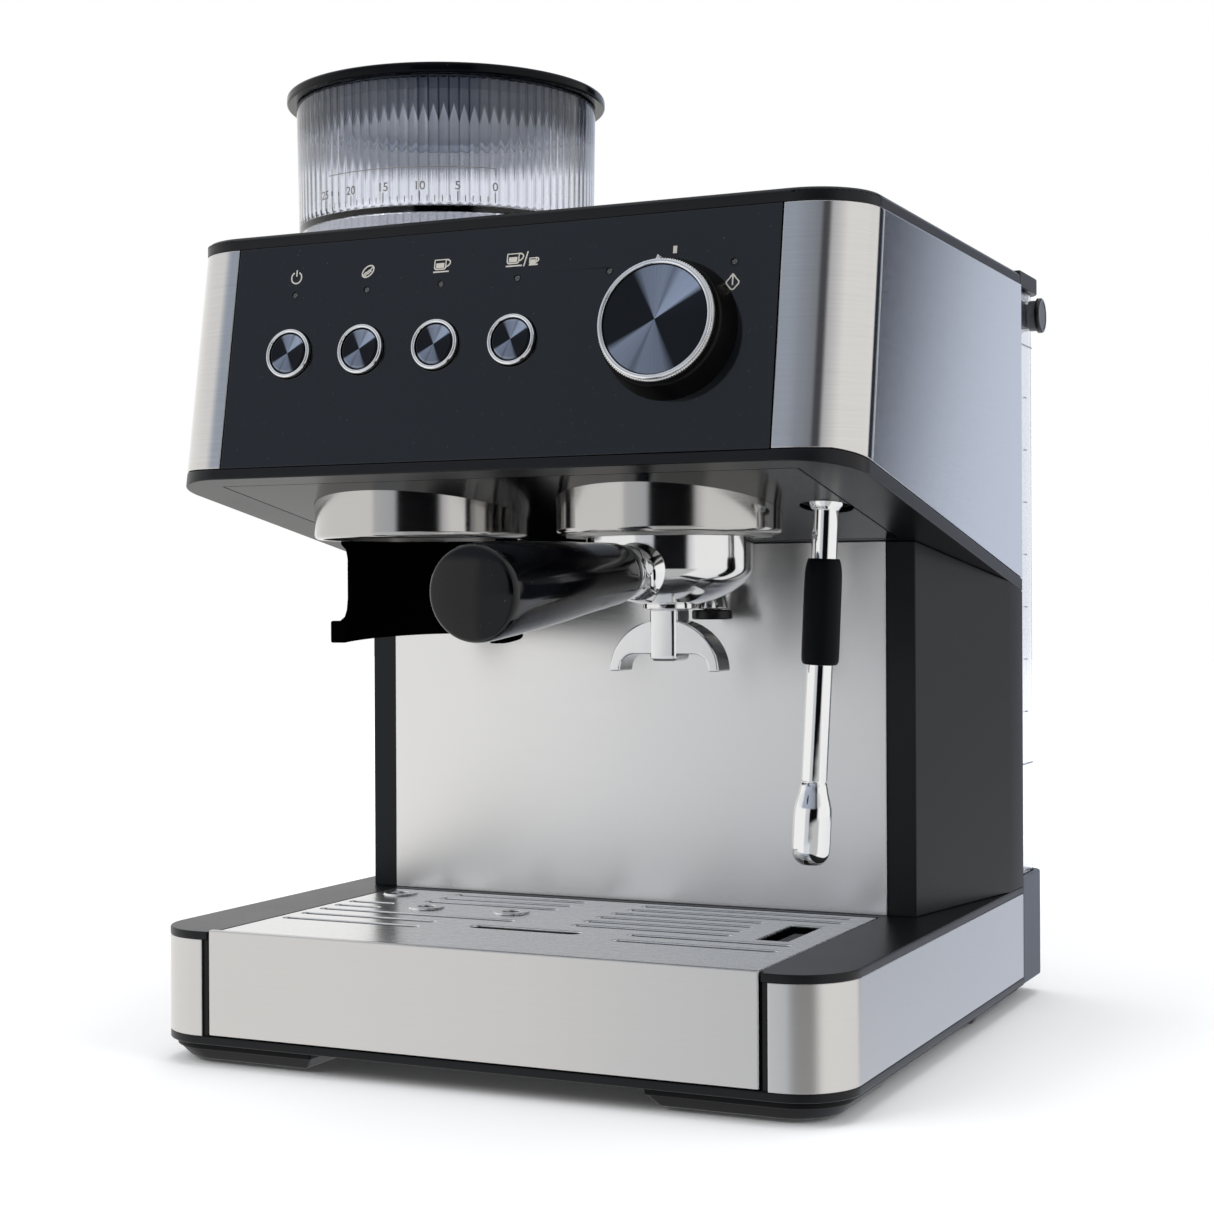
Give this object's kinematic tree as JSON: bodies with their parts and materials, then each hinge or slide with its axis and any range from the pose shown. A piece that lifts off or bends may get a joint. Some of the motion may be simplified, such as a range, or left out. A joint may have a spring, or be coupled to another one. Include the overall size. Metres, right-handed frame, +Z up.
{
  "type": "espresso machine with burr grinder",
  "caption": "Countertop espresso machine with a built-in conical burr grinder, clear bean hopper, brew group with portafilter, steam wand, drip tray and rear water tank.",
  "frame": {"origin": "on the counter, under the middle of the whole machine with its portafilter locked in", "axes": "+X to the user's right, +Y away from the user, +Z up"},
  "size_m": [0.3156, 0.4118, 0.4233],
  "materials": {
    "black_plastic": "satin moulded",
    "column_plastic": "fine matt texture",
    "grey_plastic": "fine matt texture",
    "brushed_steel": "brushed",
    "satin_steel": "satin",
    "gloss_black": "polished",
    "gloss_knob": "gloss",
    "button_metal": "spun dark anodised",
    "chrome": "polished",
    "grip_black": "gloss",
    "rubber": "matt",
    "gasket": "matt",
    "clear": "clear",
    "tank_clear": "clear",
    "lens": "frosted",
    "cast_metal": "cast",
    "dark_plastic": "moulded",
    "motor_steel": "rolled steel can",
    "burr_steel": "hardened",
    "gear_metal": "sintered",
    "gear_plastic": "moulded",
    "hose": "silicone",
    "valve_brass": "turned",
    "board_green": "laminate",
    "valve_plastic": "moulded",
    "tray_plastic": "moulded"
  },
  "bodies": {
    "machine": {"base_housing": "black_plastic", "base_wraps": "brushed_steel", "base_pan": "black_plastic", "rubber_feet": "rubber", "rear_base": "grey_plastic", "column_shell": "column_plastic", "backsplash": "brushed_steel", "head_frame": "black_plastic", "underside_panel": "gloss_black", "control_panel": "gloss_black", "corner_trims": "brushed_steel", "side_panels": "brushed_steel", "top_cover": "black_plastic", "warmer_plate": "satin_steel", "grinder_collar": "brushed_steel", "group_collar": "brushed_steel", "group_head": "cast_metal", "brew_gasket": "gasket", "shower_screen": "satin_steel", "grinder_cradle": "black_plastic", "status_leds": "lens", "grind_chamber": "cast_metal", "grinder_gearbox": "dark_plastic", "burr_bearings": "chrome", "grinder_motor": "motor_steel", "boiler": "cast_metal", "pump": "dark_plastic", "water_hoses": "hose", "steam_valve": "valve_brass", "hot_water_outlet": "chrome", "control_board": "board_green", "tank_seat": "valve_plastic", "cord_gland": "dark_plastic", "button_bezels": "chrome"},
    "selector": {"selector_knob": "gloss_knob", "knob_ring": "chrome"},
    "hopper": {"hopper": "clear", "upper_burr": "burr_steel"},
    "hopper_lid": {"hopper_lid": "gloss_knob"},
    "burr_shaft": {"cone_burr": "burr_steel", "drive_gear": "gear_metal"},
    "idler": {"idler_gear": "gear_plastic"},
    "motor_shaft": {"motor_pinion": "chrome"},
    "portafilter": {"portafilter": "chrome", "portafilter_grip": "grip_black", "filter_basket": "satin_steel"},
    "wand_ring": {"wand_swivel": "dark_plastic"},
    "wand": {"steam_wand": "chrome", "wand_grip": "rubber"},
    "tray": {"drip_tray": "tray_plastic", "tray_front": "brushed_steel"},
    "grid": {"tray_grid": "satin_steel"},
    "float": {"tray_float": "tray_plastic"},
    "tank": {"water_tank": "tank_clear", "tank_handle": "grey_plastic"},
    "tank_lid": {"tank_lid": "black_plastic"},
    "power_button": {"power_button": "button_metal"},
    "grind_button": {"grind_button": "button_metal"},
    "single_button": {"single_button": "button_metal"},
    "double_button": {"double_button": "button_metal"}
  },
  "joints": [
    {"name": "power_button_press", "type": "slide", "parent": "machine", "child": "power_button", "axis": [0, 0.9863, -0.165], "range_m": [0, 0.0015], "stiffness_N_per_m": 300, "springref_m": -0.002},
    {"name": "grind_button_press", "type": "slide", "parent": "machine", "child": "grind_button", "axis": [0, 0.9863, -0.165], "range_m": [0, 0.0015], "stiffness_N_per_m": 300, "springref_m": -0.002},
    {"name": "single_button_press", "type": "slide", "parent": "machine", "child": "single_button", "axis": [0, 0.9863, -0.165], "range_m": [0, 0.0015], "stiffness_N_per_m": 300, "springref_m": -0.002},
    {"name": "double_button_press", "type": "slide", "parent": "machine", "child": "double_button", "axis": [0, 0.9863, -0.165], "range_m": [0, 0.0015], "stiffness_N_per_m": 300, "springref_m": -0.002},
    {"name": "selector_turn", "type": "hinge", "parent": "machine", "child": "selector", "pos_m": [0.0805, -0.09471, 0.30003], "axis": [0, -0.9863, 0.165], "range_deg": [-40, 40]},
    {"name": "hopper_turn", "type": "hinge", "parent": "machine", "child": "hopper", "pos_m": [-0.068, -0.00515, 0.353], "axis": [0, 0, 1], "range_deg": [-46.5, 46.5]},
    {"name": "hopper_lid_lift", "type": "slide", "parent": "hopper", "child": "hopper_lid", "axis": [0, 0, 1], "range_m": [0, 0.06]},
    {"name": "burr_spin", "type": "hinge", "parent": "machine", "child": "burr_shaft", "pos_m": [-0.068, -0.00515, 0.3], "axis": [0, 0, 1], "continuous": true},
    {"name": "idler_spin", "type": "hinge", "parent": "machine", "child": "idler", "pos_m": [-0.068, 0.02386, 0.26], "axis": [0, 0, 1], "continuous": true},
    {"name": "motor_spin", "type": "hinge", "parent": "machine", "child": "motor_shaft", "pos_m": [-0.068, 0.05985, 0.26], "axis": [0, 0, 1], "continuous": true},
    {"name": "portafilter_turn", "type": "hinge", "parent": "machine", "child": "portafilter", "pos_m": [0.052, -0.03015, 0.225], "axis": [0, 0, 1], "range_deg": [-45, 0]},
    {"name": "wand_forward", "type": "hinge", "parent": "machine", "child": "wand_ring", "pos_m": [0.12, -0.02515, 0.238], "axis": [-1, 0, 0], "range_deg": [-8, 28]},
    {"name": "wand_outward", "type": "hinge", "parent": "wand_ring", "child": "wand", "pos_m": [0.12, -0.02515, 0.238], "axis": [0, -1, 0], "range_deg": [-4, 26]},
    {"name": "tray_pull", "type": "slide", "parent": "machine", "child": "tray", "axis": [0, -1, 0], "range_m": [0, 0.14]},
    {"name": "grid_lift", "type": "slide", "parent": "tray", "child": "grid", "axis": [0, 0, 1], "range_m": [0, 0.02]},
    {"name": "float_rise", "type": "slide", "parent": "tray", "child": "float", "axis": [0, 0, 1], "range_m": [0, 0.006]},
    {"name": "tank_lift", "type": "slide", "parent": "machine", "child": "tank", "axis": [0, 0, 1], "range_m": [0, 0.12]},
    {"name": "tank_lid_lift", "type": "slide", "parent": "tank", "child": "tank_lid", "axis": [0, 0, 1], "range_m": [0, 0.08]}
  ],
  "couplings": [
    {"joint": "idler_spin", "follows": "burr_spin", "ratio": -3.1429},
    {"joint": "motor_spin", "follows": "burr_spin", "ratio": 15.714}
  ]
}
